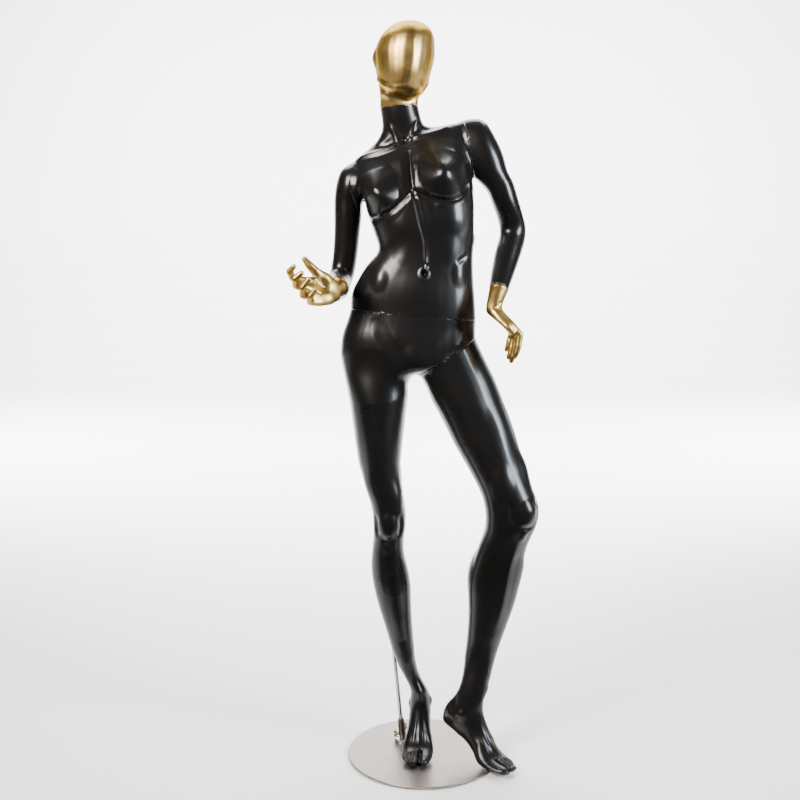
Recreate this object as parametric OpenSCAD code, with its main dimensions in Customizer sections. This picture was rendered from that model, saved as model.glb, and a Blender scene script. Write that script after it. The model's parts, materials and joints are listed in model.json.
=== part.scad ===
// Full body display mannequin: hollow moulded figure in separate sections, on a calf rod and a
// round steel base. The figure faces -Y and +X is its own left. The origin is the middle of the
// base plate's underside, and all sizes are in millimetres.

/* [Figure] */
// Thickness of the moulded shell walls
wall = 4; // [3:0.5:5]
// Gap at every seam between two sections
seam_gap = 0.4; // [0.3:0.1:0.8]

/* [Fittings] */
// Thickness of the steel plates that close the sections at the seams
plate_t = 4; // [3:0.5:6]
// Radius of the pegs that the arms, the head, the torso and the leg hang on
peg_r = 11; // [9:0.5:12]
// Length of those pegs
peg_len = 30; // [24:1:34]
// Radius of the pegs that the hands turn on
wrist_peg_r = 7; // [6:0.5:8]
// Radial play of a peg in its bore
play = 0.06; // [0.03:0.01:0.1]

/* [Base] */
// Diameter of the base plate
base_d = 378; // [340:1:420]
// Thickness of the base plate
base_t = 5; // [4:0.5:6]
// Thickness of the rubber mat under the base plate
mat_t = 2; // [1:0.5:3]
// Diameter of the flange that holds the socket
flange_d = 44; // [40:1:50]

/* [Rod] */
// Diameter of the calf rod
rod_d = 10; // [9:0.5:11]
// Outer radius of the socket tube on the base
socket_r = 9; // [8.5:0.5:10]
// Length of the socket tube
socket_len = 50; // [46:1:60]
// Outer radius of the socket tube inside the calf
calf_tube_r = 8; // [7.5:0.5:8.5]

/* [Hidden] */

round_fn = 48;
// Numbers of points round a section of the body and of a limb
sides = 36;
limb_sides = 24;
// Socket flange with its three screws, and the shanks of the wing screws
flange_t = 6;
screw_pcd = 33;
screw_r = 2;
wing_shank_r = 2.5;
mat_r = 165;
// Height of the base plate's top face
top = mat_t + base_t;

// Foot of the calf rod's axis, and the point where its axis ends inside the calf
rod_foot = [-50, 62, top];
rod_head = [-86, 40, 380];

// Sections of the body, level but for their slope from side to side:
// [height, x, y, half width, depth in front, depth behind, slope, squareness]
neck_top = [1594, -60, 12, 45, 44, 47, 0.07, 2];
waist_seam = [1111, -26, 4, 150, 80, 88, -0.09, 2.2];
torso_sections = [
    neck_top,
    [1570, -55, 15, 46, 43, 50, 0.08, 2],
    [1548, -51, 20, 50, 42, 52, 0.14, 2],
    [1530, -46, 25, 76, 44, 54, 0.28, 2],
    [1512, -42, 26, 136, 50, 60, 0.37, 2.1],
    [1474, -36, 24, 142, 74, 84, 0.37, 2.3],
    [1436, -26, 18, 137, 86, 90, 0.33, 2.3],
    [1405, -16, 14, 128, 92, 90, 0.29, 2.3],
    [1340, 0, 8, 125, 90, 82, 0.16, 2.3],
    [1305, 4, 4, 121, 84, 76, 0.08, 2.2],
    [1265, 4, 2, 113, 76, 72, 0.02, 2.2],
    [1230, -10, 2, 126, 76, 74, 0, 2.2],
    [1190, -20, 3, 138, 80, 80, -0.03, 2.2],
    [1150, -26, 4, 148, 81, 85, -0.07, 2.2],
    waist_seam
];
pelvis_sections = [
    waist_seam,
    [1085, -31, 4, 154, 82, 95, -0.07, 2.2],
    [1055, -36, 4, 161, 86, 106, -0.04, 2.2],
    [1021, -32, 5, 169, 88, 114, 0, 2.2],
    [995, -26, 6, 175, 86, 116, 0, 2.2],
    [980, -20, 6, 179, 82, 112, 0, 2.2]
];
right_leg_sections = [
    [963, -117, 4, 78, 78, 98, 0, 2.1],
    [935, -113, 2, 76, 80, 90, 0, 2.1],
    [904, -110, 0, 71, 78, 82, 0, 2],
    [825, -109, -4, 61, 70, 70, 0, 2],
    [746, -107, -6, 51, 60, 58, 0, 2],
    [669, -92, -6, 44, 52, 48, 0, 2],
    [628, -84, -6, 41, 50, 44, 0, 2.1],
    [590, -84, -4, 40, 48, 44, 0, 2.1],
    [560, -86, 0, 38, 44, 46, 0, 2],
    [525, -88, 4, 40, 42, 50, 0, 2],
    [483, -84, 10, 46, 42, 58, 0, 2],
    [440, -78, 15, 47, 42, 60, 0, 2],
    [397, -73, 20, 43, 40, 56, 0, 2],
    [354, -66, 24, 38, 38, 48, 0, 2],
    [310, -58, 28, 33, 36, 40, 0, 2],
    [266, -50, 30, 29, 33, 34, 0, 2],
    [224, -38, 32, 25, 31, 30, 0, 2],
    [185, -24, 34, 23, 30, 30, 0, 2]
];
left_leg_sections = [
    [945, 88, -2, 84, 80, 92, 0.1, 2.1],
    [907, 103, -6, 87, 80, 88, 0, 2],
    [868, 122, -12, 84, 77, 80, 0, 2],
    [830, 138, -18, 81, 74, 74, 0, 2],
    [793, 153, -25, 77, 70, 68, 0, 2],
    [756, 170, -32, 72, 65, 62, 0, 2],
    [718, 186, -39, 67, 60, 56, 0, 2],
    [680, 203, -46, 65, 56, 50, 0, 2],
    [641, 213, -50, 66, 54, 48, 0, 2.1],
    [605, 209, -48, 62, 52, 46, 0, 2.1],
    [575, 200, -42, 60, 48, 46, 0, 2],
    [536, 187, -34, 60, 44, 50, 0, 2],
    [493, 181, -26, 65, 42, 56, 0, 2],
    [449, 173, -20, 64, 42, 58, 0, 2],
    [407, 169, -15, 59, 40, 54, 0, 2],
    [364, 163, -11, 52, 38, 46, 0, 2],
    [321, 155, -8, 46, 36, 40, 0, 2],
    [278, 146, -6, 41, 33, 34, 0, 2],
    [236, 136, -16, 38, 31, 31, 0, 2],
    [205, 128, -26, 38, 30, 30, 0, 2],
    [180, 120, -34, 37, 29, 29, 0, 2]
];
head_sections = [
    [1783, -36, -4, 16, 24, 26, 0, 2],
    [1777, -36, -4, 36, 54, 54, 0, 2],
    [1764, -38, -4, 52, 76, 75, 0, 2.1],
    [1745, -42, -3, 64, 95, 89, 0, 2.1],
    [1724, -46, -2, 69, 103, 95, 0, 2.1],
    [1706, -48, -2, 71, 105, 95, 0, 2.1],
    [1684, -49, -2, 67, 104, 92, 0, 2.1],
    [1662, -50, -1, 62, 102, 86, 0, 2.1],
    [1644, -51, 0, 57, 98, 76, 0, 2],
    [1630, -53, 2, 53, 92, 64, 0, 2],
    [1619, -58, 6, 47, 72, 54, 0.02, 2],
    [1612, -60, 9, 45, 50, 50, 0.05, 2],
    neck_top
];

// Breasts: [x, height, how far they stand out, radius]
breasts = [[46, 1436, 50, 56], [-116, 1388, 50, 56]];

// Armpits, and the leaning sections that fan out round each one: [lean, reach, half depth].
// The right arm is written as if on the left, and mirrored when it is drawn.
left_armpit = [118, 22, 1434];
left_arm_fan = [[102, 136, 46], [84, 140, 50], [67, 109, 50], [46, 85, 46], [26, 72, 41]];
right_armpit = [144, 22, 1385];
right_arm_fan = [[69, 88, 46], [54, 88, 48], [40, 80, 47], [22, 71, 43], [4, 67, 40]];

// Planes of the seams, as a point [x, z] and the change of x for each millimetre upwards
function seam_plane(armpit, fan) = let (a = fan[0][0], h = fan[0][1] / 2)
    [armpit[0] + h * cos(a), armpit[2] + h * sin(a), cos(a) / sin(a)];
left_shoulder = seam_plane(left_armpit, left_arm_fan);
right_shoulder = seam_plane(right_armpit, right_arm_fan);
hip_slope = 0.65;
hip_seam = [55, 1013.5, 1 / hip_slope];

// The left thigh from its seam down, as the sections fan out round the crotch
left_hip_sections = [
    [1013.5, 55, 3, 67, 80, 100, hip_slope, 2.1],
    [990, 65, 2, 73, 80, 98, 0.45, 2.1],
    [966, 77, 0, 79, 80, 95, 0.25, 2.1]
];

// Sections of the arms below the fans: [x, y, z, roll, pitch, half width, half depth]
left_arm_sections = [
    [181, 24, 1412, 21, 0, 33, 39],
    [192, 27, 1382, 18, 2, 32, 38],
    [205, 38, 1348, 15, 8, 31, 36],
    [215, 52, 1313, 10, 22, 32, 36],
    [212, 50, 1285, 2, 38, 33, 37],
    [201, 28, 1255, -8, 42, 32, 35],
    [190, 2, 1222, -12, 42, 29, 31],
    [180, -26, 1193, -14, 42, 26, 27],
    [173, -48, 1172, -15, 42, 23, 24]
];
right_arm_sections = [
    [182, 23, 1345, 0, 0, 33, 39],
    [185, 27, 1300, 0, 0, 31, 37],
    [190, 33, 1250, 0, 2, 30, 36],
    [196, 34, 1214, 0, 22, 30, 37],
    [203, 20, 1190, 0, 52, 29, 37],
    [206, -6, 1180, 0, 76, 30, 35],
    [206, -44, 1178, 0, 86, 30, 34],
    [202, -92, 1179, 0, 88, 27, 28],
    [199, -128, 1180, 0, 90, 23, 24]
];

// Sections of a foot from the ankle to the toe tips, in the foot's own frame, where it points
// along -Y: [0, y, height, 0, tilt of the plane, half width, half height]
foot_sections = [
    [0, -16, 152, 0, 0, 24, 33],
    [0, -12, 138, 0, 14, 26, 42],
    [0, -3, 121, 0, 34, 28, 52],
    [0, -10, 104, 0, 46, 28, 44],
    [0, -26, 82, 0, 50, 29, 33],
    [0, -42, 60, 0, 50, 31, 27],
    [0, -57, 41, 0, 54, 35, 23],
    [0, -72, 26, 0, 66, 39, 20],
    [0, -90, 18, 0, 84, 41, 16],
    [0, -110, 14, 0, 90, 39, 12.5],
    [0, -128, 12, 0, 90, 33, 10.5],
    [0, -141, 11, 0, 90, 20, 7]
];
// Where the heels stand, and which way the feet turn out: [x, y, turn]
right_foot = [-5, 44, -6];
left_foot = [94, -30, 50];

// A hand in its own frame, where it points along -Z, its palm faces -Y and its thumb is at +X:
// sections of the wrist and of the palm, [0, 0, height, 0, 0, half width, half thickness]
wrist_sections = [
    [0, 0, 0, 0, 0, 22.5, 23],
    [0, 0, -16, 0, 0, 20, 18],
    [0, 0, -34, 0, 0, 22, 17],
    [0, 0, -46, 0, 0, 19, 14],
    [0, 0, -52, 0, 0, 9, 7]
];
wrist_len = 40;
palm_sections = [
    [0, 0, 12, 0, 0, 14, 11],
    [0, 0, 2, 0, 0, 21, 15],
    [0, 0, -14, 0, 0, 28, 15],
    [0, 0, -34, 0, 0, 37, 14],
    [0, 0, -58, 0, 0, 40, 12],
    [0, 0, -76, 0, 0, 37, 9]
];
// Fingers from the little one to the index: [x of the knuckle, height of the knuckle, length]
fingers = [[-29, -66, 56], [-10, -72, 70], [9, -73, 74], [27, -69, 66]];
finger_r = 8;
thumb_sections = [
    [12, -2, -14, 35, 10, 9, 11],
    [28, -8, -32, 40, 15, 11, 11],
    [42, -13, -52, 25, 15, 9.5, 9.5],
    [48, -17, -74, 12, 12, 8.5, 8],
    [51, -20, -88, 10, 10, 6, 6],
    [52, -21, -92, 10, 10, 3, 3]
];

// Point on a smooth curve through the values in list, u from 0 to 1
function spline(a, b, c, d, t) =
    0.5 * (2 * b + (c - a) * t + (2 * a - 5 * b + 4 * c - d) * t * t
        + (3 * b - a - 3 * c + d) * t * t * t);
function along(list, u) =
    let (last = len(list) - 1, i = min(floor(u * last), last - 1), t = u * last - i)
    spline(list[max(i - 1, 0)], list[i], list[i + 1], list[min(i + 2, last)], t);
function refine(list, steps) = [for (i = [0 : steps]) along(list, i / steps)];
function backwards(list) = [for (i = [len(list) - 1 : -1 : 0]) list[i]];

// Signed power, which makes a superellipse from a circle
function spow(v, p) = sign(v) * pow(abs(v), p);

// Where the plane of a seam cuts the plane of a level section, as an x
function seam_x(s, plane) =
    (plane[0] + plane[2] * (s[0] - s[6] * s[1] - plane[1])) / (1 - plane[2] * s[6]);

// Ring of points round one level section, drawn in by the wall where it is the inner face, and
// cut off flat where it would pass x_min or x_max
function level_ring(s, inset, n, x_min = -999, x_max = 999) = [
    for (i = [0 : n - 1])
    let (
        a = 360 * i / n,
        p = 2 / s[7],
        x = s[1] + (s[3] - inset) * spow(cos(a), p),
        y = s[2] + ((sin(a) < 0 ? s[4] : s[5]) - inset) * spow(sin(a), p),
        cut_x = max(x_min, min(x_max, x))
    ) [cut_x, y, s[0] + s[6] * (cut_x - s[1])]
];

// Ring of points round one leaning section
function lean_axes(s) = let (down = [sin(s[3]), 0, -cos(s[3])], back = [0, 1, 0])
    [[cos(s[3]), 0, sin(s[3])], back * cos(s[4]) + down * sin(s[4]),
        down * cos(s[4]) - back * sin(s[4])];
function lean_ring(s, inset, n, phase = 0) = let (axes = lean_axes(s)) [
    for (i = [0 : n - 1])
    let (a = 360 * i / n + phase)
    [s[0], s[1], s[2]] + axes[0] * (s[5] - inset) * cos(a) + axes[1] * (s[6] - inset) * sin(a)
];

// Ring moved to an ankle and turned out with the foot
function place_ring(ring, spot) = [
    for (p = ring)
    [spot[0] + p[0] * cos(spot[2]) - p[1] * sin(spot[2]),
        spot[1] + p[0] * sin(spot[2]) + p[1] * cos(spot[2]), p[2] + top]
];

// How far the breasts stand out at a point on the chest
function breast_at(p, b) = let (d = norm([p[0] - b[0], p[2] - b[1]]) / b[3])
    d < 1 ? b[2] * pow(1 - d * d, 1.3) : 0;
function with_breasts(ring, y_mid) = [
    for (p = ring)
    p[1] < y_mid ? [p[0], p[1] - breast_at(p, breasts[0]) - breast_at(p, breasts[1]), p[2]] : p
];

// Sections that fan out round an armpit, the first of them a seam's gap away from its plane
function fan_sections(armpit, fan, step) = [
    for (i = [0 : len(fan) - 1])
    let (
        a = fan[i][0],
        h = fan[i][1] / 2,
        gap = i == 0 ? seam_gap : 0
    )
    [armpit[0] + step[0] * i + h * cos(a) + gap * sin(a), armpit[1],
        armpit[2] + step[1] * i + h * sin(a) - gap * cos(a), a, 0, h, fan[i][2]]
];
left_arm_run = concat(fan_sections(left_armpit, left_arm_fan, [3.5, -3.5]), left_arm_sections);
right_arm_run = concat(fan_sections(right_armpit, right_arm_fan, [1, -3.5]), right_arm_sections);

// Closed skin over a run of rings that all have the same number of points
module skin(rings) {
    n = len(rings[0]);
    last = len(rings) - 1;
    polyhedron(
        points = [for (ring = rings) each ring],
        faces = [
            [for (j = [n - 1 : -1 : 0]) j],
            for (i = [0 : last - 1]) for (j = [0 : n - 1])
                [i * n + j, i * n + (j + 1) % n, (i + 1) * n + (j + 1) % n, (i + 1) * n + j],
            [for (j = [0 : n - 1]) last * n + j]
        ]
    );
}

// Rings of the torso, cut flat at the two shoulder seams, and kept clear of the arms under them
function torso_ring(s, inset) =
    let (
        left_x = seam_x(s, left_shoulder) - inset,
        right_x = inset - seam_x([s[0], -s[1], 0, 0, 0, 0, -s[6]], right_shoulder),
        left_z = s[0] + s[6] * (left_x - s[1]),
        right_z = s[0] + s[6] * (right_x - s[1])
    )
    level_ring(s, inset, sides,
        right_z > right_armpit[2] ? right_x : s[0] > 1300 ? inset + 4 - right_armpit[0] : -999,
        left_z > left_armpit[2] ? left_x : s[0] > 1300 ? left_armpit[0] - 2 - inset : 999);

// Rings of the hips and of the right thigh, cut flat at the seam of the left leg
function hip_ring(s, inset) =
    level_ring(s, inset, sides, -999, seam_x(s, hip_seam) - inset);

// Frame of a level section: X along its slope, Z square to it
module level_frame(s) translate([s[1], s[2], s[0]]) rotate([0, -atan(s[6]), 0]) children();
// Frame of a leaning section: Z points back along the limb
module lean_frame(s) {
    a = lean_axes(s);
    multmatrix([
        [a[0][0], a[1][0], -a[2][0], s[0]],
        [a[0][1], a[1][1], -a[2][1], s[1]],
        [a[0][2], a[1][2], -a[2][2], s[2]],
        [0, 0, 0, 1]
    ]) children();
}
// Frame of the calf rod: Z up along its axis
module rod_frame() {
    run = rod_head - rod_foot;
    translate(rod_foot) rotate([0, acos(run[2] / norm(run)), atan2(run[1], run[0])]) children();
}

// Steel plate that closes a section at a level or a leaning seam, with an optional bore, and
// a gap between its edge and the shell
module level_plate(s, z, bore_r = 0, gap = 1) {
    outline = [
        for (p = level_ring(s, wall + gap, sides))
        [(p[0] - s[1]) / cos(atan(s[6])), p[1] - s[2]]
    ];
    level_frame(s) difference() {
        translate([0, 0, z]) linear_extrude(plate_t) polygon(outline);
        if (bore_r > 0) translate([0, 0, z - 1]) cylinder(r = bore_r, h = plate_t + 2, $fn = round_fn);
    }
}
module lean_plate(s, bore_r, gap = 1.5) {
    outline = [
        for (i = [0 : limb_sides - 1])
        let (a = 360 * i / limb_sides)
        [(s[5] - wall - gap) * cos(a), (s[6] - wall - gap) * sin(a)]
    ];
    lean_frame(s) translate([0, 0, -plate_t]) difference() {
        linear_extrude(plate_t) polygon(outline);
        translate([0, 0, -1]) cylinder(r = bore_r, h = plate_t + 2, $fn = round_fn);
    }
}

module torso() {
    bottom = waist_seam + [seam_gap, 0, 0, 0, 0, 0, 0, 0];
    sections = [for (i = [0 : len(torso_sections) - 1])
        i < len(torso_sections) - 1 ? torso_sections[i] : bottom];
    outer = refine(sections, 34);
    inner = [for (s = refine(sections, 24)) if (s[0] < 1495) s];
    color("black") skin(concat(
        [for (s = outer) with_breasts(torso_ring(s, 0), s[2])],
        [for (s = backwards(inner)) torso_ring(s, wall)]
    ));
}

module head() {
    outer = refine(head_sections, 26);
    inner = [for (s = refine(head_sections, 14)) if (s[0] < 1765) s];
    color("goldenrod") translate([0, 0, seam_gap]) skin(concat(
        [for (s = outer) level_ring(s, 0, limb_sides)],
        [for (s = backwards(inner)) level_ring(s, wall, limb_sides)]
    ));
}

module pelvis_and_right_leg() {
    hips = refine(pelvis_sections, 12);
    leg = refine(right_leg_sections, 26);
    foot = refine(foot_sections, 16);
    hollow = [for (s = refine(right_leg_sections, 14)) if (s[0] > 440) s];
    color("black") difference() {
        skin(concat(
            [for (s = backwards(hollow)) level_ring(s, wall, sides)],
            [for (s = backwards(refine(pelvis_sections, 6))) hip_ring(s, wall)],
            [for (s = hips) hip_ring(s, 0)],
            [for (s = leg) level_ring(s, 0, sides)],
            [for (s = foot) place_ring(lean_ring(s, 0, sides, -right_foot[2]), right_foot)]
        ));
        rod_frame() translate([0, 0, 190]) cylinder(r = calf_tube_r, h = 210, $fn = round_fn);
    }
}

module left_leg() {
    rim = left_hip_sections[0] + [-seam_gap, seam_gap, 0, 0, 0, 0, 0, 0];
    sections = concat([rim], [for (i = [1, 2]) left_hip_sections[i]], left_leg_sections);
    hollow = [for (s = refine(sections, 16)) if (s[0] > 330) s];
    color("black") skin(concat(
        [for (s = backwards(hollow)) level_ring(s, wall, limb_sides)],
        [for (s = refine(sections, 34)) level_ring(s, 0, limb_sides)],
        [for (s = refine(foot_sections, 16))
            place_ring(lean_ring(s, 0, limb_sides, -left_foot[2]), left_foot)]
    ));
}

module arm(run) {
    hollow = [for (i = [0 : 18]) along(run, i / 20)];
    color("black") skin(concat(
        [for (s = backwards(hollow)) lean_ring(s, wall, limb_sides)],
        [for (s = refine(run, 30)) lean_ring(s, 0, limb_sides)]
    ));
}
module left_arm() arm(left_arm_run);
module right_arm() mirror([1, 0, 0]) arm(right_arm_run);

// Sections of one finger, which bends at its three joints by the angles in curl
function finger_sections(f, curl) =
    let (
        a1 = curl[0],
        a2 = a1 + curl[1],
        a3 = a2 + curl[2],
        p1 = [f[0], 0, f[1]],
        p2 = p1 + 0.46 * f[2] * [0, -sin(a1), -cos(a1)],
        p3 = p2 + 0.3 * f[2] * [0, -sin(a2), -cos(a2)],
        p4 = p3 + 0.2 * f[2] * [0, -sin(a3), -cos(a3)],
        r = finger_r
    ) [
        [f[0], 0, f[1] + 16, 0, 0, r, r],
        [p1[0], p1[1], p1[2], 0, a1 / 2, r, r],
        [p2[0], p2[1], p2[2], 0, (a1 + a2) / 2, r - 0.5, r - 0.5],
        [p3[0], p3[1], p3[2], 0, (a2 + a3) / 2, r - 1, r - 1],
        [p4[0], p4[1], p4[2], 0, a3, r - 2, r - 2],
        [p4[0], p4[1] - 4 * sin(a3), p4[2] - 4 * cos(a3), 0, a3, r - 5, r - 5]
    ];

// A hand, bent back at the wrist and to the side, with a round pocket for the wrist peg
module hand(bend, side_bend, curl) {
    pocket = [for (z = [-18, 0]) [0, 0, z, 0, 0, wrist_peg_r + 0.35, wrist_peg_r + 0.35]];
    translate([0, 0, -seam_gap]) union() {
        skin([for (s = concat(pocket, refine(wrist_sections, 6))) lean_ring(s, 0, limb_sides)]);
        translate([0, 0, -wrist_len]) rotate([bend, 0, 0]) rotate([0, side_bend, 0]) {
            skin([for (s = refine(palm_sections, 8)) lean_ring(s, 0, limb_sides)]);
            for (i = [0 : 3])
                skin([for (s = refine(finger_sections(fingers[i], curl + i * [-4, -3, 0]), 10))
                    lean_ring(s, 0, 10)]);
            skin([for (s = refine(thumb_sections, 8)) lean_ring(s, 0, 10)]);
        }
    }
}
module left_hand() color("goldenrod") lean_frame(left_arm_run[len(left_arm_run) - 1])
    rotate([0, 0, -110]) hand(50, 40, [38, 14, 8]);
module right_hand() color("goldenrod") mirror([1, 0, 0])
    lean_frame(right_arm_run[len(right_arm_run) - 1])
    rotate([0, 0, -90]) hand(66, -2, [34, 54, 36]);

// Plates and pegs of the seams
module waist_plate() color("silver") level_plate(waist_seam, -plate_t);
module torso_plate() color("silver")
    level_plate(waist_seam + [seam_gap, 0, 0, 0, 0, 0, 0, 0], 0, peg_r + play);
module waist_peg() color("silver") level_frame(waist_seam)
    cylinder(r = peg_r, h = peg_len, $fn = round_fn);
module head_plate() color("silver")
    level_plate(neck_top + [seam_gap, 0, 0, 0, 0, 0, 0, 0], 0, peg_r + play);
module neck_peg() color("silver") level_frame(neck_top)
    cylinder(r = peg_r, h = peg_len, $fn = round_fn);

// The hip peg lies level, so the leg comes off sideways
module hip_bar(r) translate([hip_seam[0], 3, hip_seam[1]]) rotate([0, 90, 0])
    translate([0, 0, -peg_len]) cylinder(r = r, h = 2 * peg_len, $fn = round_fn);
module hip_peg() color("silver") difference() {
    hip_bar(peg_r);
    level_frame(left_hip_sections[0]) translate([-50, -50, 0]) cube(100);
}
module left_leg_plate() {
    rim = left_hip_sections[0] + [-seam_gap, seam_gap, 0, 0, 0, 0, 0, 0];
    color("silver") difference() {
        level_plate(rim, -plate_t, gap = 3.5);
        hip_bar(peg_r + play);
    }
}

module shoulder_peg(run) color("silver") lean_frame(run[0])
    translate([0, 0, -peg_len]) cylinder(r = peg_r, h = peg_len + seam_gap, $fn = round_fn);
module left_shoulder_peg() shoulder_peg(left_arm_run);
module right_shoulder_peg() mirror([1, 0, 0]) shoulder_peg(right_arm_run);
module left_arm_plate() color("silver") lean_plate(left_arm_run[0], peg_r + play);
module right_arm_plate() color("silver") mirror([1, 0, 0])
    lean_plate(right_arm_run[0], peg_r + play);

module wrist_peg(run) color("silver") lean_frame(run[len(run) - 1])
    translate([0, 0, -16]) cylinder(r = wrist_peg_r, h = 16, $fn = round_fn);
module left_wrist_peg() wrist_peg(left_arm_run);
module right_wrist_peg() mirror([1, 0, 0]) wrist_peg(right_arm_run);

// Base
module screw_places() translate([rod_foot[0], rod_foot[1], 0])
    for (a = [30, 150, 270]) rotate([0, 0, a]) translate([screw_pcd / 2, 0, 0]) children();

module base_plate() color("dimgray") difference() {
    translate([0, 0, mat_t]) rotate_extrude($fn = 96) polygon([
        [0, 0],
        [base_d / 2 - 1, 0],
        [base_d / 2, 1],
        [base_d / 2, base_t - 1],
        [base_d / 2 - 1, base_t],
        [0, base_t]
    ]);
    screw_places() cylinder(r = screw_r + play, h = top + 1, $fn = 24);
}

module base_mat() color("black") cylinder(r = mat_r, h = mat_t, $fn = round_fn);

module socket_flange() color("silver") difference() {
    translate([rod_foot[0], rod_foot[1], top]) cylinder(d = flange_d, h = flange_t, $fn = round_fn);
    screw_places() translate([0, 0, top - 1]) cylinder(r = screw_r + play, h = flange_t + 2, $fn = 24);
}

module flange_screws() color("silver") screw_places() {
    translate([0, 0, mat_t + 0.5]) cylinder(r = screw_r, h = base_t + flange_t, $fn = 24);
    translate([0, 0, top + flange_t]) cylinder(r = screw_r * 1.9, h = 1.6, $fn = 24);
}

// Tapped bosses for the two wing screws: [height along the tube, direction]
wing_screws = [[30, 205], [19, 325]];
module boss_frame(w) translate([0, 0, w[0]]) rotate([0, 0, w[1]]) rotate([0, 90, 0]) children();

module socket_tube() color("dimgray") difference() {
    rod_frame() difference() {
        union() {
            translate([0, 0, -6]) rotate([0, 0, 40])
                cylinder(r = socket_r, h = socket_len + 6, $fn = round_fn);
            for (w = wing_screws) boss_frame(w) cylinder(r = 5, h = socket_r + 3, $fn = 32);
        }
        translate([0, 0, 12]) cylinder(r = rod_d / 2 + play, h = socket_len, $fn = round_fn);
        for (w = wing_screws) boss_frame(w)
            cylinder(r = wing_shank_r + play, h = socket_r + 4, $fn = 32);
    }
    translate([rod_foot[0] - 50, rod_foot[1] - 50, top + flange_t - 60]) cube([100, 100, 60]);
}

module wing_screw(w) color("goldenrod") rod_frame() boss_frame(w) {
    translate([0, 0, rod_d / 2 + 0.3]) cylinder(r = wing_shank_r, h = socket_r + 2, $fn = 32);
    translate([0, 0, socket_r + 3.4]) cylinder(r = 4, h = 3.6, $fn = 32);
    translate([0, 0, socket_r + 7]) rotate([90, 0, 0]) translate([0, 0, -1.25]) union() {
        for (side = [-1, 1]) translate([side * 5, 2, 0]) cylinder(r = 4.2, h = 2.5, $fn = 32);
        translate([-5, -3, 0]) cube([10, 5, 2.5]);
    }
}
module upper_wing_screw() wing_screw(wing_screws[0]);
module lower_wing_screw() wing_screw(wing_screws[1]);

module calf_rod() color("silver") rod_frame() translate([0, 0, 14])
    cylinder(d = rod_d, h = 336, $fn = round_fn);
module rod_collar() color("silver") rod_frame() translate([0, 0, socket_len + 0.3]) difference() {
    cylinder(r = socket_r - 1, h = 10, $fn = round_fn);
    translate([0, 0, -1]) cylinder(d = rod_d, h = 12, $fn = round_fn);
}
module calf_tube() color("silver") rod_frame() translate([0, 0, 285]) difference() {
    cylinder(r = calf_tube_r, h = 115, $fn = round_fn);
    translate([0, 0, -1]) cylinder(r = rod_d / 2 + play, h = 111, $fn = round_fn);
}

base_plate();
base_mat();
socket_flange();
flange_screws();
socket_tube();
calf_rod();
rod_collar();
upper_wing_screw();
lower_wing_screw();
calf_tube();
pelvis_and_right_leg();
left_leg();
torso();
head();
right_arm();
left_arm();
right_hand();
left_hand();
waist_plate();
waist_peg();
torso_plate();
hip_peg();
left_leg_plate();
neck_peg();
head_plate();
right_shoulder_peg();
left_shoulder_peg();
right_arm_plate();
left_arm_plate();
right_wrist_peg();
left_wrist_peg();
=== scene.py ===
"""Full body display mannequin: satin black shell sections, gold head and hands, steel base."""
import json
import math

import bmesh
import bpy
import numpy as np
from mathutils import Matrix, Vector
from mathutils.bvhtree import BVHTree


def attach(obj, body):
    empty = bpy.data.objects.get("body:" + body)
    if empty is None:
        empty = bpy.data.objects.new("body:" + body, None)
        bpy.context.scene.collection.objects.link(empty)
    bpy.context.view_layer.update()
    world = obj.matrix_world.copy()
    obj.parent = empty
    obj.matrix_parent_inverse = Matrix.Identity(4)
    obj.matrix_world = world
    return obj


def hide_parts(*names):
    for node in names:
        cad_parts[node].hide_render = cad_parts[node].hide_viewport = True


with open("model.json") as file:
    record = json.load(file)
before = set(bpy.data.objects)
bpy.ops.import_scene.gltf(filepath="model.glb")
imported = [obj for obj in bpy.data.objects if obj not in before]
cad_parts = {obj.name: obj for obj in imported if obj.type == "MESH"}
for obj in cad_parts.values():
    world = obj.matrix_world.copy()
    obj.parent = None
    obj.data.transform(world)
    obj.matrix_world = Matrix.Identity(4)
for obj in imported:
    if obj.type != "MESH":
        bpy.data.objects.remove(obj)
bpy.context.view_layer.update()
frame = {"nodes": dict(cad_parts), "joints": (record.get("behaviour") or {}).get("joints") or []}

MM = 0.001


# ---------------------------------------------------------------- helpers

def deselect_all():
    if bpy.context.object and bpy.context.object.mode != "OBJECT":
        bpy.ops.object.mode_set(mode="OBJECT")
    bpy.ops.object.select_all(action="DESELECT")


def make_active(obj):
    deselect_all()
    obj.select_set(True)
    bpy.context.view_layer.objects.active = obj


def apply_modifier(obj, kind, **settings):
    make_active(obj)
    modifier = obj.modifiers.new(kind.title(), kind)
    for name, value in settings.items():
        setattr(modifier, name, value)
    bpy.ops.object.modifier_apply(modifier=modifier.name)


def new_mesh_object(name, bm):
    mesh = bpy.data.meshes.new(name)
    bm.to_mesh(mesh)
    bm.free()
    obj = bpy.data.objects.new(name, mesh)
    bpy.context.scene.collection.objects.link(obj)
    return obj


def joined(name, objs):
    deselect_all()
    for obj in objs:
        obj.select_set(True)
    bpy.context.view_layer.objects.active = objs[0]
    bpy.ops.object.join()
    objs[0].name = name
    return objs[0]


def remeshed(obj, voxel):
    make_active(obj)
    obj.data.remesh_voxel_size = voxel
    obj.data.use_remesh_preserve_volume = False
    bpy.ops.object.voxel_remesh()


def points_of(obj):
    co = np.empty(len(obj.data.vertices) * 3)
    obj.data.vertices.foreach_get("co", co)
    return co.reshape(-1, 3)


def set_points(obj, co):
    obj.data.vertices.foreach_set("co", co.astype(np.float32).ravel())
    obj.data.update()


def normals_of(obj):
    no = np.empty(len(obj.data.vertices) * 3)
    obj.data.vertices.foreach_get("normal", no)
    return no.reshape(-1, 3)


# ---------------------------------------------------------------- seams

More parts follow.
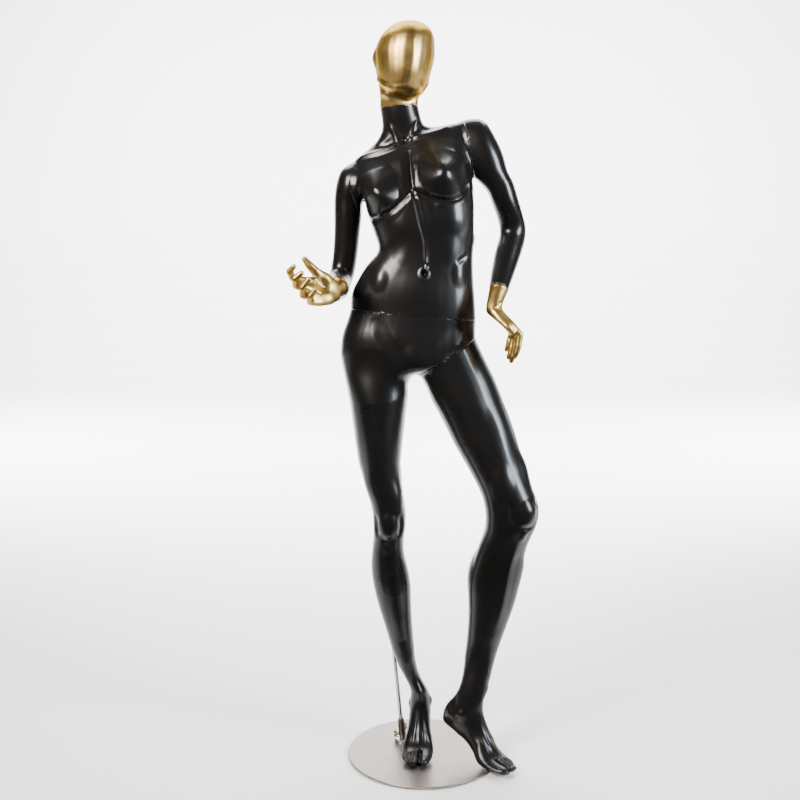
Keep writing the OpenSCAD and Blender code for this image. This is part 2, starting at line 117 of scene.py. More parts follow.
ON_SEAM = 1.2 * MM    # a point nearer to a seam than this lies on it
AT_RIM = 1.5 * MM
FLAT = 0.99           # least cosine between a seam face and its seam


class Seam:
    """Plane between two sections, with its normal pointing to the far side."""

    def __init__(self, point, normal):
        self.point = Vector(point)
        self.normal = Vector(normal).normalized()

    def height(self, co):
        return (co - np.array(self.point)) @ np.array(self.normal)


def plate_seam(node, towards):
    """The seam plane of a closing plate: its largest face on the side that points towards."""
    mesh = frame["nodes"][node].data
    towards = Vector(towards)
    faces = [p for p in mesh.polygons if p.normal.dot(towards) > 0.5]
    normal = sum((p.normal * p.area for p in faces), Vector()).normalized()
    flat = [p for p in faces if p.normal.dot(normal) > 0.999]
    centre = sum((p.center * p.area for p in flat), Vector()) / sum(p.area for p in flat)
    return Seam(centre, normal)


def joint_seam(name):
    """The seam that a section turns in: it lies across the joint's axis."""
    joint = next(j for j in frame["joints"] if j["name"] == name)
    return Seam(joint["pos_m"], joint["axis"])


waist = plate_seam("waist_plate", (0, 0, 1))
hip = plate_seam("left_leg_plate", (-0.5, 0, 0.8))
neck = joint_seam("head_turn")
right_shoulder = joint_seam("right_arm_turn")
left_shoulder = joint_seam("left_arm_turn")
right_wrist = joint_seam("right_wrist_turn")
left_wrist = joint_seam("left_wrist_turn")


def outer_skin(node, seam, extend):
    """The outer face of a CAD shell, open end drawn out past its seam and closed."""
    bm = bmesh.new()
    bm.from_mesh(frame["nodes"][node].data)
    bmesh.ops.remove_doubles(bm, verts=bm.verts, dist=1e-5)
    rim = [
        f for f in bm.faces
        if abs(f.normal.dot(seam.normal)) > FLAT
        and abs((f.calc_center_median() - seam.point).dot(seam.normal)) < ON_SEAM
    ]
    bmesh.ops.delete(bm, geom=rim, context="FACES")
    keep_largest_island(bm)
    for end, direction in extend:
        draw_out(bm, end, direction)
    bmesh.ops.recalc_face_normals(bm, faces=bm.faces)
    return new_mesh_object(node + "_skin", bm)


def grouped(items, neighbours):
    """Splits faces or edges into the groups that hang together."""
    left = set(items)
    groups = []
    while left:
        queue, group = [left.pop()], []
        while queue:
            item = queue.pop()
            group.append(item)
            for other in neighbours(item):
                if other in left:
                    left.remove(other)
                    queue.append(other)
        groups.append(group)
    return groups


def islands(bm):
    return grouped(bm.faces, lambda face: (f for edge in face.edges for f in edge.link_faces))


def room_of(faces):
    """Volume of the box round some faces."""
    co = np.array([v.co for f in faces for v in f.verts])
    return float(np.prod(co.max(0) - co.min(0)))


def keep_largest_island(bm):
    found = sorted(islands(bm), key=room_of)
    lost = [f for island in found[:-1] for f in island]
    if lost:
        bmesh.ops.delete(bm, geom=lost, context="FACES")
    loose = [v for v in bm.verts if not v.link_faces]
    bmesh.ops.delete(bm, geom=loose, context="VERTS")


def draw_out(bm, seam, distance):
    """Moves the end that lies on a seam outwards, by a straight new wall, and closes it."""
    flat = [
        f for f in bm.faces
        if abs(f.normal.dot(seam.normal)) > FLAT
        and all(abs((v.co - seam.point).dot(seam.normal)) < ON_SEAM for v in f.verts)
    ]
    if flat:
        bmesh.ops.delete(bm, geom=flat, context="FACES")
    edges = [
        e for e in bm.edges
        if e.is_boundary
        and all(abs((v.co - seam.point).dot(seam.normal)) < AT_RIM for v in e.verts)
    ]
    grown = bmesh.ops.extrude_edge_only(bm, edges=edges)["geom"]
    new_verts = [g for g in grown if isinstance(g, bmesh.types.BMVert)]
    bmesh.ops.translate(bm, verts=new_verts, vec=seam.normal * distance)
    rim = [e for e in bm.edges if e.is_boundary and all(v in set(new_verts) for v in e.verts)]
    bmesh.ops.contextual_create(bm, geom=rim)


# ---------------------------------------------------------------- sculpting

class Clay:
    """The skin's points, moved as with a loop tool and a thumb. All sizes are in millimetres."""

    def __init__(self, obj):
        self.obj = obj
        self.refresh()

    def refresh(self):
        self.obj.data.update()
        self.co = points_of(self.obj) / MM
        self.no = normals_of(self.obj)
        polygons = [tuple(p.vertices) for p in self.obj.data.polygons]
        self.tree = BVHTree.FromPolygons([Vector(c) for c in self.co], polygons)

    def write(self):
        set_points(self.obj, self.co * MM)
        self.refresh()

    def at(self, x, z, y=0, turn=-90):
        """Point of the skin seen from inside the body: turn -90 is the front, 90 the back."""
        angle = math.radians(turn)
        way = Vector((math.cos(angle), math.sin(angle), 0))
        hit = self.tree.ray_cast(Vector((x, y, z)), way)[0]
        return np.array(hit) if hit is not None else np.array((x, y, z), float)

    def push(self, weight, amount, along):
        way = self.no if along is None else np.array(along, float)
        self.co += (weight * amount)[:, None] * way

    def top(self, x, y, z):
        """Point of the skin under a height."""
        hit = self.tree.ray_cast(Vector((x, y, z)), Vector((0, 0, -1)))[0]
        return np.array(hit) if hit is not None else np.array((x, y, z), float)

    def bump(self, centre, size, amount, along=None, sharp=2.0, cone=False):
        """Raises a round patch, or a pointed one. size is one radius or three."""
        d2 = np.minimum((((self.co - centre) / np.array(size, float)) ** 2).sum(1), 1)
        weight = (1 - np.sqrt(d2)) ** sharp if cone else (1 - d2) ** sharp
        self.push(weight, amount, along)

    def stroke(self, points, width, amount, along=None, sharp=2.0, taper=0.25, crest=False):
        """Raises a ridge, or sinks a groove, along a line of points that fades at both ends."""
        line = smooth_line(points)
        lo, hi = line.min(0) - width, line.max(0) + width
        near = np.nonzero(((self.co > lo) & (self.co < hi)).all(1))[0]
        if not len(near):
            return
        spots = self.co[near]
        best = np.full(len(near), 1e9)
        place = np.zeros(len(near))
        for i in range(len(line) - 1):
            a, b = line[i], line[i + 1]
            ab = b - a
            t = np.clip(((spots - a) @ ab) / max(ab @ ab, 1e-9), 0, 1)
            d = np.linalg.norm(spots - (a + t[:, None] * ab), axis=1)
            closer = d < best
            best[closer] = d[closer]
            place[closer] = (i + t[closer]) / (len(line) - 1)
        fall = np.clip(1 - best / width, 0, 1)
        profile = fall ** sharp if crest else (1 - np.clip(best / width, 0, 1) ** 2) ** sharp
        fade = np.minimum(place, 1 - place) / max(taper, 1e-6)
        profile = profile * np.clip(fade, 0, 1) ** 0.7 if taper else profile
        way = self.no[near] if along is None else np.array(along, float)
        self.co[near] += (profile * amount)[:, None] * way

    def relax(self, centre, size, reach=10):
        """Smooths a round patch, as with a wet sponge. reach is how wide a lump it takes away."""
        d2 = (((self.co - centre) / np.array(size, float)) ** 2).sum(1)
        inside = d2 < 1
        edges = np.empty(len(self.obj.data.edges) * 2, int)
        self.obj.data.edges.foreach_get("vertices", edges)
        edges = edges.reshape(-1, 2)
        edges = edges[inside[edges].any(1)]
        if not len(edges):
            return
        near, edges = np.unique(edges, return_inverse=True)
        edges = edges.reshape(-1, 2)
        co = self.co[near]
        weight = np.clip(1 - d2[near], 0, 1)[:, None]
        length = np.linalg.norm(co[edges[:, 0]] - co[edges[:, 1]], axis=1).mean()
        rounds = max(1, int(round((reach / length) ** 2)))
        count = np.bincount(edges.ravel(), minlength=len(near))[:, None]
        for _ in range(rounds):
            total = np.stack([
                np.bincount(edges[:, 0], co[edges[:, 1], k], len(near))
                + np.bincount(edges[:, 1], co[edges[:, 0], k], len(near)) for k in range(3)], 1)
            co = co + (total / count - co) * weight
        self.co[near] = co

    def mound(self, x, z, height, up, down, side, keel):
        """A pointed swelling on the chest: straight slopes above its tip, a full curve under it."""
        dx, dz = self.co[:, 0] - x, self.co[:, 2] - z
        r = np.hypot(dx, dz) + 1e-6
        rise = dz / r
        span = np.where(dz > 0, side + (up - side) * rise ** 2, side + (down - side) * rise ** 2)
        t = np.clip(r / span, 0, 1)
        slope = (1 - t) ** 1.15
        full = (1 - t ** 2.2) ** 0.75
        blend = np.clip(0.5 - 0.75 * rise, 0, 1)
        profile = slope * (1 - blend) + (0.45 * slope + 0.55 * full) * blend
        # The keel is a ridge that leaves the tip towards (keel x, keel z)
        kx, kz = np.array(keel, float) / np.hypot(*keel)
        along, across = dx * kx + dz * kz, dx * kz - dz * kx
        ridge = (np.clip(1 - np.abs(across) / 26, 0, 1) * np.clip(along / 12, 0, 1)
                 * np.clip(1 - along / up, 0, 1))
        facing = np.clip((-self.no[:, 1] - 0.1) / 0.3, 0, 1) * (self.co[:, 1] < 10)
        self.co[:, 1] -= (profile * height + 3.5 * ridge) * facing


def refined(obj, inside):
    """Halves the mesh size where inside(points in mm) holds."""
    bm = bmesh.new()
    bm.from_mesh(obj.data)
    flags = inside(points_of(obj) / MM)
    edges = [e for e in bm.edges if flags[e.verts[0].index] and flags[e.verts[1].index]]
    bmesh.ops.subdivide_edges(bm, edges=edges, cuts=1, use_grid_fill=True)
    bm.to_mesh(obj.data)
    bm.free()


def fine_places(p):
    """Toes, navel, the groove down the middle, throat and breast folds."""
    x, y, z = p.T
    toes = (z < 74) & (y < -24)
    middle = (np.abs(x + 20) < 34) & (y < -20) & (z > 1190) & (z < 1530)
    breasts = (np.abs(x + 25) < 130) & (y < -20) & (z > 1325) & (z < 1470)
    return toes | middle | breasts


def smooth_line(points, steps=6):
    """Catmull-Rom line through the points."""
    p = [np.array(q, float) for q in points]
    if len(p) < 3:
        return np.array([p[0] + (p[-1] - p[0]) * t for t in np.linspace(0, 1, steps + 1)])
    p = [2 * p[0] - p[1]] + p + [2 * p[-1] - p[-2]]
    line = []
    for i in range(1, len(p) - 2):
        for t in np.arange(steps) / steps:
            a, b, c, d = p[i - 1:i + 3]
            line.append(0.5 * (2 * b + (c - a) * t + (2 * a - 5 * b + 4 * c - d) * t * t
                               + (3 * b - a - 3 * c + d) * t ** 3))
    line.append(p[-2])
    return np.array(line)


FRONT, BACK = (0, -1, 0), (0, 1, 0)


def sculpt_chest(clay):
    front = lambda x, z: clay.at(x, z, y=20)
    # Breasts: firm and pointed, with a ridge up to the collarbone and a sharp fold below
    for x, z in ((45, 1442), (-118, 1392)):
        clay.relax(front(x, z - 4), (78, 90, 78), 60)
        clay.write()
    clay.mound(45, 1447, 24, 78, 68, 62, (-0.62, 0.78))
    clay.mound(-121, 1392, 24, 84, 56, 60, (0.42, 0.9))
    clay.write()
    for fold in (
        [(-30, 1402), (-14, 1391), (12, 1382), (42, 1376), (68, 1377), (86, 1387), (97, 1406),
         (101, 1430)],
        [(-32, 1398), (-46, 1382), (-64, 1365), (-88, 1348), (-108, 1335), (-122, 1331),
         (-136, 1342)],
    ):
        clay.stroke([front(*p) for p in fold], 13, -6, along=FRONT, crest=True, sharp=1.5,
                    taper=0.12)
        clay.write()
    # Groove down the middle, wide between the breasts and fine on the belly
    middle = [(-45, 1508), (-38, 1488), (-34, 1450), (-29, 1410), (-25, 1385)]
    clay.stroke([front(*p) for p in middle], 24, -4, along=FRONT, taper=0.3)
    clay.write()
    belly = [(-38, 1492), (-33, 1440), (-28, 1399), (-19, 1359), (-10, 1320), (0, 1282), (2, 1228)]
    clay.stroke([front(*p) for p in belly], 8, -3.4, along=FRONT, crest=True, sharp=1.2,
                taper=0.06)
    clay.write()
    beside = [(x + 8, z) for x, z in belly]
    clay.stroke([front(*p) for p in beside], 8, 0.8, along=FRONT, taper=0.1)
    clay.stroke([front(*p) for p in belly[2:]], 30, -2.5, along=FRONT, taper=0.3)
    clay.write()
    # Ribs that arch over the belly
    clay.bump(front(62, 1345), (46, 60, 52), 5, along=FRONT)
    clay.bump(front(-66, 1318), (40, 60, 50), 4, along=FRONT)
    clay.bump(front(60, 1262), (30, 40, 40), 2.5, along=FRONT)
    clay.bump(front(-52, 1262), (30, 40, 40), 2.5, along=FRONT)
    clay.write()


def sculpt_neck(clay):
    front = lambda x, z: clay.at(x, z, y=15)
    # Collarbones with a hollow over each
    right = [(-60, 1508), (-80, 1498), (-108, 1489), (-138, 1482), (-158, 1475)]
    left = [(-30, 1521), (-8, 1526), (16, 1532), (40, 1540), (58, 1549)]
    for bone in (right, left):
        clay.stroke([front(*p) for p in bone], 11, 4.5, crest=True, sharp=1.3, taper=0.15)
    clay.write()
    clay.stroke([front(-70, 1516), front(-92, 1507), front(-118, 1499)], 15, -5, taper=0.4)
    clay.stroke([front(-12, 1540), front(6, 1544), front(26, 1549)], 15, -5, taper=0.4)
    # Notch at the throat between the two tendons
    clay.stroke([front(-62, 1509), front(-70, 1530), front(-84, 1556)], 8, 2.6, taper=0.25)
    clay.stroke([front(-32, 1524), front(-26, 1545), front(-16, 1570)], 8, 2.6, taper=0.25)
    clay.write()
    clay.bump(front(-47, 1515), (11, 20, 12), -5, along=FRONT)
    clay.bump(front(-59, 1508), 7, 2.5, along=FRONT)
    clay.bump(front(-33, 1520), 7, 2.5, along=FRONT)
    clay.write()


def sculpt_belly(clay):
    front = lambda x, z: clay.at(x, z, y=10)
    # The hips run into the thigh without a step
    clay.relax(np.array((-118, 0, 968)), (100, 150, 74), 42)
    clay.relax(np.array((-20, -20, 962)), (60, 110, 50), 22)
    clay.write()
    # Navel: a deep oval with a raised rim
    centre = front(-2, 1208)
    clay.bump(centre, (15, 30, 18), 4.0, along=FRONT, sharp=1.0)
    clay.write()
    clay.bump(front(-2, 1208), (9.5, 30, 12.5), -15, along=FRONT, sharp=1.0)
    clay.stroke([front(4, 1232), front(4, 1224), front(2, 1216)], 6, -3, along=FRONT)
    clay.write()
    # Low belly, hip bones and the folds down to the crotch
    clay.bump(front(-12, 1165), (70, 60, 60), 4, along=FRONT)
    clay.bump(front(-108, 1200), (26, 40, 40), 5, along=FRONT)
    clay.bump(front(82, 1210), (24, 40, 40), 4, along=FRONT)
    clay.write()
    clay.stroke([front(74, 1232), front(88, 1242), front(104, 1256)], 9, -3, taper=0.4)
    clay.stroke([front(-112, 1110), front(-96, 1065), front(-74, 1030), front(-50, 998)],
                26, -3.5, taper=0.35)
    clay.stroke([front(80, 1085), front(56, 1050), front(28, 1020), front(2, 994)],
                24, -2, taper=0.35)
    clay.bump(front(-24, 1015), (34, 50, 40), 4, along=FRONT)
    clay.write()


def sculpt_back(clay):
    back = lambda x, z: clay.at(x, z, y=0, turn=90)
    spine = [(-56, 1540), (-42, 1480), (-24, 1410), (-8, 1340), (0, 1270), (-8, 1210),
             (-20, 1150), (-28, 1100)]
    clay.stroke([back(*p) for p in spine], 34, -8, along=BACK, taper=0.2)
    clay.write()
    clay.stroke([back(*p) for p in spine], 9, -2.5, along=BACK, taper=0.2)
    # Shoulder blades
    for blade in ([(-92, 1470), (-84, 1430), (-86, 1385), (-104, 1350)],
                  [(26, 1505), (30, 1460), (36, 1415), (56, 1380)]):
        clay.stroke([back(*p) for p in blade], 24, 5.5, along=BACK, taper=0.3)
        clay.write()
    # Buttocks with the cleft and the folds under them
    clay.bump(clay.at(-104, 1025, 20, 90), (80, 90, 82), 20, along=BACK, sharp=1.3)
    clay.bump(clay.at(46, 1030, 20, 90), (80, 90, 82), 20, along=BACK, sharp=1.3)
    clay.write()
    cleft = [(-28, 1092), (-29, 1050), (-29, 1010), (-29, 975)]
    clay.stroke([clay.at(x, z, 10, 90) for x, z in cleft], 26, -20, along=BACK, taper=0.3)
    clay.write()
    for fold in ([(-50, 958), (-85, 948), (-130, 950), (-165, 962)],
                 [(0, 955), (35, 946), (80, 950), (122, 966)]):
        clay.stroke([clay.at(x, z, 10, 90) for x, z in fold], 15, -7, taper=0.35)
    clay.write()
    clay.bump(back(-54, 1118), 16, -3, along=BACK)
    clay.bump(back(2, 1116), 16, -3, along=BACK)
    clay.write()


def sculpt_leg(clay, line, turn, knee, calf_side):
    """One leg. line gives its middle as (z, x, y), and turn is the way the knee faces."""
    heights = [p[0] for p in line][::-1]

    def middle(z):
        x = np.interp(z, heights, [p[1] for p in line][::-1])
        y = np.interp(z, heights, [p[2] for p in line][::-1])
        return x, y

    def spot(z, away):
        x, y = middle(z)
        return clay.at(x, z, y, turn + away)

    # Kneecap: a flat shield with a dent on either side, and the tendon under it
    clay.bump(spot(knee + 2, 0), (26, 26, 34), 5.5, sharp=0.9)
    clay.write()
    clay.stroke([spot(knee + 30, 38), spot(knee, 44), spot(knee - 30, 36)], 12, -4.5, taper=0.3)
    clay.stroke([spot(knee + 30, -38), spot(knee, -44), spot(knee - 30, -36)], 12, -4.5, taper=0.3)
    clay.stroke([spot(knee - 32, 24), spot(knee - 38, 0), spot(knee - 32, -24)], 9, -2.5, taper=0.3)
    clay.stroke([spot(knee - 40, 0), spot(knee - 75, 0)], 13, 3, taper=0.3)
    clay.write()
    # Thigh muscles that end over the knee
    clay.bump(spot(knee + 75, calf_side * 42), (34, 34, 52), 5)
    clay.bump(spot(knee + 100, -calf_side * 40), (34, 34, 60), 4)
    clay.bump(spot(knee + 190, 0), (46, 46, 120), 4)
    clay.write()
    # Edge of the shin, and the two heads of the calf
    shin = [spot(knee - z, calf_side * 8) for z in (70, 140, 220, 300)]
    clay.stroke(shin, 20, 4.5, crest=True, sharp=1.2, taper=0.2)
    clay.bump(spot(knee - 150, 180 - calf_side * 35), (30, 30, 85), 7)
    clay.bump(spot(knee - 135, 180 + calf_side * 40), (28, 28, 75), 5)
    clay.write()
    clay.stroke([spot(knee - z, 180) for z in (90, 140, 200)], 12, -2, taper=0.4)
    # Hollow behind the knee between its two cords
    clay.bump(spot(knee, 180), (18, 18, 34), -4)
    clay.stroke([spot(knee + z, 148) for z in (70, 30, -20)], 10, 3, taper=0.4)
    clay.stroke([spot(knee + z, -148) for z in (70, 30, -20)], 10, 3, taper=0.4)
    clay.write()


def reshape_left_foot(clay):
    """Heel back and up, instep forward, toes longer: the foot stands on its ball."""
    x, y, z = clay.co.T
    forward = np.array((0.766, -0.643))
    along = (x - 94) * forward[0] + (y + 30) * forward[1]
    here = (x > 45) & (z < 200) & (x < 260)
    front = np.clip((along - 4) / 40, 0, 1)
    rise = np.interp(z, [0, 30, 64, 106, 148, 172, 198], [0, 7, 17, 24, 22, 11, 0])
    heel = np.clip((22 - along) / 42, 0, 1) * np.interp(z, [60, 95, 150, 190], [0, 1, 1, 0])
    instep = rise * front * np.clip((150 - along) / 60, 0, 1)
    clay.co[:, 0] += np.where(here, instep - 12 * heel, 0)
    reach = np.where(here, 17 * np.clip((along - 70) / 70, 0, 1), 0) * (z < 120)
    clay.co[:, :2] += reach[:, None] * forward
    clay.write()
    clay.relax(np.array((125, -55, 120)), (80, 80, 90), 10)
    clay.write()


def sculpt_foot(clay, heel_x, heel_y, turn, inner):
    """Ankle and toes of one foot. inner is 1 where the big toe lies at the foot's own +X side."""
    c, s = math.cos(math.radians(turn)), math.sin(math.radians(turn))

    def place(x, y):
        return heel_x + x * c - y * s, heel_y + x * s + y * c

    def top(x, y, z=70):
        return clay.top(*place(x, y), z)

    clay.relax(np.array((*place(0, -6), 186.0)), (60, 60, 90), 26)
    clay.relax(np.array((*place(0, -110), 34.0)), (62, 66, 56), 5)
    clay.write()
    clay.relax(np.array((*place(0, -84), 68.0)), (56, 50, 34), 9)
    clay.relax(np.array((*place(0, -40), 95.0)), (60, 60, 50), 16)
    clay.write()
    # Ankle bones, and the hollows beside the heel tendon
    for side, z in ((inner, 128), (-inner, 118)):
        clay.bump(np.array((*place(side * 27, -6), z)), (17, 17, 19), 4.5)
        clay.bump(np.array((*place(side * 20, 22), z + 22)), (18, 18, 36), -4)
    clay.bump(np.array((*place(0, 40), 66.0)), (26, 22, 26), 3)
    clay.write()
    # Tendons over the instep
    for x in (-9, 2, 13):
        clay.stroke([top(x * 0.6, -44, 120), top(x, -66, 90), top(x * 1.4, -92)], 5, 1.3, taper=0.4)
    clay.write()
    # The wide gap beside the big toe, then the three fine ones
    gap = inner * 7
    line = [top(gap, -102), top(gap, -114), top(gap * 1.1, -130),
            np.array((*place(gap * 1.1, -146), 10.0))]
    clay.stroke(line, 7, -15, along=(0, 0, 1), sharp=1.1, taper=0.0)
    back = np.array((-s, c, 0.0))
    clay.bump(np.array((*place(gap * 1.1, -142), 12.0)), (7.5, 16, 22), 18, along=back, sharp=1.0)
    clay.write()
    for x in (-4, -14, -24):
        line = [top(inner * x * 0.9, -106), top(inner * x, -120), top(inner * x, -132),
                np.array((*place(inner * x, -143), 10.0))]
        clay.stroke(line, 5, -4.6, crest=True, sharp=1.1, taper=0.12)
        clay.write()
    # Toes: short ones step back towards the little toe, each rounded at its tip
    clay.bump(np.array((*place(-inner * 34, -136), 12.0)), (22, 22, 24), 9, along=back)
    clay.bump(np.array((*place(inner * 20, -128), 20.0)), (15, 24, 16), 2.5)
    clay.write()


# ---------------------------------------------------------------- sections

RIM = 5 * MM            # width of the flat edge round a closing plate
RECESS = 5.6 * MM       # how deep the plate sits
CHAMFER = 0.9 * MM
CUT_REACH = 0.3         # how far from its seam's middle a cut looks for its limb
SMALLEST_RING = 8       # faces; fewer are a crumb, not a limb
RIM_WELD = 1.2 * MM
TOUCH = 1e-6            # a point this near to a cut's plane is on it


def cut(bm, seam):
    """Cuts the skin along a seam, only round the seam's own limb, and opens it there."""
    crossing = set()
    for f in bm.faces:
        if (f.verts[0].co - seam.point).length < CUT_REACH:
            heights = [(v.co - seam.point).dot(seam.normal) for v in f.verts]
            if min(heights) <= TOUCH and max(heights) >= -TOUCH:
                crossing.add(f)
    rings = grouped(crossing, lambda face: (f for v in face.verts for f in v.link_faces))

    def away(ring):
        middle = sum((f.calc_center_median() for f in ring), Vector()) / len(ring)
        return (middle - seam.point).length

    near = min((r for r in rings if len(r) > SMALLEST_RING), key=away)
    parts = set(near)
    for f in near:
        parts.update(f.edges)
        parts.update(f.verts)
    made = bmesh.ops.bisect_plane(
        bm, geom=list(parts), plane_co=seam.point, plane_no=seam.normal, dist=TOUCH)
    edges = [g for g in made["geom_cut"] if isinstance(g, bmesh.types.BMEdge)]
    bmesh.ops.split_edges(bm, edges=edges)


def rim_loops(bm):
    """Open boundary loops, each as a list of edges."""
    rims = [e for e in bm.edges if e.is_boundary]
    return grouped(rims, lambda edge: (e for v in edge.verts for e in v.link_edges))


def close_rim(bm, loop, outwards, hollow, rim=RIM, recess=RECESS):
    """Closes one cut end: a chamfered edge, a flat rim, and a recess for the closing plate."""
    out = Vector(outwards).normalized()
    verts = list({v for e in loop for v in e.verts})
    centre = sum((v.co for v in verts), Vector()) / len(verts)
    ins = {}
    for v in verts:
        links = [e for e in v.link_edges if e in loop]
        run = sum(((e.other_vert(v).co - v.co) * s for e, s in zip(links, (1, -1))), Vector())
        side = run.cross(out)
        if side.length < 1e-9:
            side = centre - v.co
        side = (side - out * side.dot(out)).normalized()
        if side.dot(centre - v.co) < 0:
            side = -side
        ins[v] = side
    # Neighbours are evened out, so that the rim keeps one width round a ragged edge
    for _ in range(4):
        ins = {v: (ins[v] * 2 + sum((ins[e.other_vert(v)] for e in v.link_edges
                                     if e.other_vert(v) in ins), Vector())).normalized()
               for v in verts}

    def ring(edges, moves):
        grown = bmesh.ops.extrude_edge_only(bm, edges=edges)["geom"]
        new_edges = [g for g in grown if isinstance(g, bmesh.types.BMEdge) and g.is_boundary]
        new_verts = {v for e in new_edges for v in e.verts}
        table = {}
        for e in grown:
            if isinstance(e, bmesh.types.BMEdge) and not e.is_boundary:
                a, b = e.verts
                if a in new_verts and b in moves:
                    table[a] = b
                elif b in new_verts and a in moves:
                    table[b] = a
        following = {}
        for new, old in table.items():
            new.co = old.co + moves[old]
            following[new] = old
        return new_edges, following

    source = dict(ins)

    def step(edges, inwards, down):
        nonlocal source
        moves = {v: source[v] * inwards - out * down for v in source}
        new_edges, following = ring(edges, moves)
        source = {new: source[old] for new, old in following.items()}
        return new_edges

    for v in verts:
        v.co -= out * CHAMFER
    edges = step(loop, CHAMFER, -CHAMFER)
    if hollow:
        edges = step(edges, rim - CHAMFER, 0)
        edges = step(edges, 0, recess)
    bmesh.ops.contextual_create(bm, geom=edges)


def section_object(name, bm, faces, ends, rim=RIM, recess=RECESS):
    """One section as its own closed object. ends lists each seam, and whether it takes a plate."""
    keep = set(faces)
    part = bm.copy()
    part.faces.ensure_lookup_table()
    lost = [part.faces[f.index] for f in bm.faces if f not in keep]
    bmesh.ops.delete(part, geom=lost, context="FACES")
    edge_verts = list({v for loop in rim_loops(part) for e in loop for v in e.verts})
    bmesh.ops.remove_doubles(part, verts=edge_verts, dist=RIM_WELD)
    for loop in rim_loops(part):
        verts = {v for e in loop for v in e.verts}
        centre = sum((v.co for v in verts), Vector()) / len(verts)
        seam, hollow = min(ends, key=lambda end: (end[0].point - centre).length)
        height = sum((v.co - seam.point).dot(seam.normal) for v in part.verts
                     if (v.co - centre).length < 0.1)
        close_rim(part, loop, seam.normal * (-1 if height > 0 else 1), hollow, rim, recess)
    bmesh.ops.recalc_face_normals(part, faces=part.faces)
    return new_mesh_object(name, part)


def opened(obj, seams):
    """The object's skin, cut at its seams, and its parts with the largest first."""
    bm = bmesh.new()
    bm.from_mesh(obj.data)
    for seam in seams:
        cut(bm, seam)
    bm.faces.index_update()
    return bm, sorted(islands(bm), key=len, reverse=True)


def stub_of(skin, seam, length):
    """The first part of a limb beyond its seam, closed with a flat end."""
    bm = bmesh.new()
    bm.from_mesh(skin.data)
    bmesh.ops.bisect_plane(
        bm, geom=bm.verts[:] + bm.edges[:] + bm.faces[:], clear_outer=True,
        plane_co=seam.point + seam.normal * length, plane_no=seam.normal)
    bmesh.ops.contextual_create(bm, geom=[e for e in bm.edges if e.is_boundary])
    return new_mesh_object(skin.name + "_stub", bm)


# ---------------------------------------------------------------- materials

def material(name):
    """An empty material with one surface shader, and the tools to wire it."""
    mat = bpy.data.materials.new(name)
    mat.use_nodes = True
    nodes, links = mat.node_tree.nodes, mat.node_tree.links
    return mat, nodes, links, nodes["Principled BSDF"]


def noise(nodes, links, scale, detail=3.0, stretch=None):
    """Noise over the object's own space, in metres, stretched along an axis if wished."""
    place = nodes.new("ShaderNodeTexCoord")
    source = place.outputs["Object"]
    if stretch:
        mapping = nodes.new("ShaderNodeMapping")
        mapping.inputs["Scale"].default_value = stretch
        links.new(source, mapping.inputs["Vector"])
        source = mapping.outputs["Vector"]
    tex = nodes.new("ShaderNodeTexNoise")
    tex.inputs["Scale"].default_value = scale
    tex.inputs["Detail"].default_value = detail
    links.new(source, tex.inputs["Vector"])
    return tex.outputs["Fac"]


def spread_over(nodes, links, source, low, high):
    """Noise turned into a value between low and high."""
    span = nodes.new("ShaderNodeMapRange")
    span.inputs["From Min"].default_value = 0.3
    span.inputs["From Max"].default_value = 0.7
    span.inputs["To Min"].default_value = low
    span.inputs["To Max"].default_value = high
    links.new(source, span.inputs["Value"])
    return span.outputs["Result"]


def mixed(nodes, links, source, dark, light):
    """Noise turned into a colour between dark and light."""
    ramp = nodes.new("ShaderNodeValToRGB")
    ramp.color_ramp.elements[0].position = 0.3
    ramp.color_ramp.elements[1].position = 0.7
    ramp.color_ramp.elements[0].color = (*dark, 1)
    ramp.color_ramp.elements[1].color = (*light, 1)
    links.new(source, ramp.inputs["Fac"])
    return ramp.outputs["Color"]


def relief(nodes, links, source, shader, strength, distance):
    bump = nodes.new("ShaderNodeBump")
    bump.inputs["Strength"].default_value = strength
    bump.inputs["Distance"].default_value = distance
    links.new(source, bump.inputs["Height"])
    links.new(bump.outputs["Normal"], shader.inputs["Normal"])


def make_black():
    mat, nodes, links, shader = material("black_lacquer")
    wide = noise(nodes, links, 3.0)
    links.new(mixed(nodes, links, wide, (0.0035, 0.0033, 0.0032), (0.0065, 0.006, 0.0058)),
              shader.inputs["Base Color"])
    links.new(spread_over(nodes, links, wide, 0.26, 0.32), shader.inputs["Roughness"])
    shader.inputs["Specular IOR Level"].default_value = 0.33
    shader.inputs["Coat Weight"].default_value = 0.1
    shader.inputs["Coat Roughness"].default_value = 0.12
    relief(nodes, links, noise(nodes, links, 260.0, 1.0), shader, 0.05, 0.0004)
    return mat


def make_gold():
    mat, nodes, links, shader = material("gold_lacquer")
    wide = noise(nodes, links, 9.0)
    links.new(mixed(nodes, links, wide, (0.45, 0.295, 0.09), (0.54, 0.37, 0.13)),
              shader.inputs["Base Color"])
    shader.inputs["Metallic"].default_value = 1.0
    shader.inputs["Specular Tint"].default_value = (0.4, 0.25, 0.1, 1)
    links.new(spread_over(nodes, links, noise(nodes, links, 40.0), 0.33, 0.41),
              shader.inputs["Roughness"])
    shader.inputs["Coat Weight"].default_value = 0.15
    shader.inputs["Coat Roughness"].default_value = 0.04
    relief(nodes, links, noise(nodes, links, 1500.0, 1.0), shader, 0.12, 0.0001)
    return mat


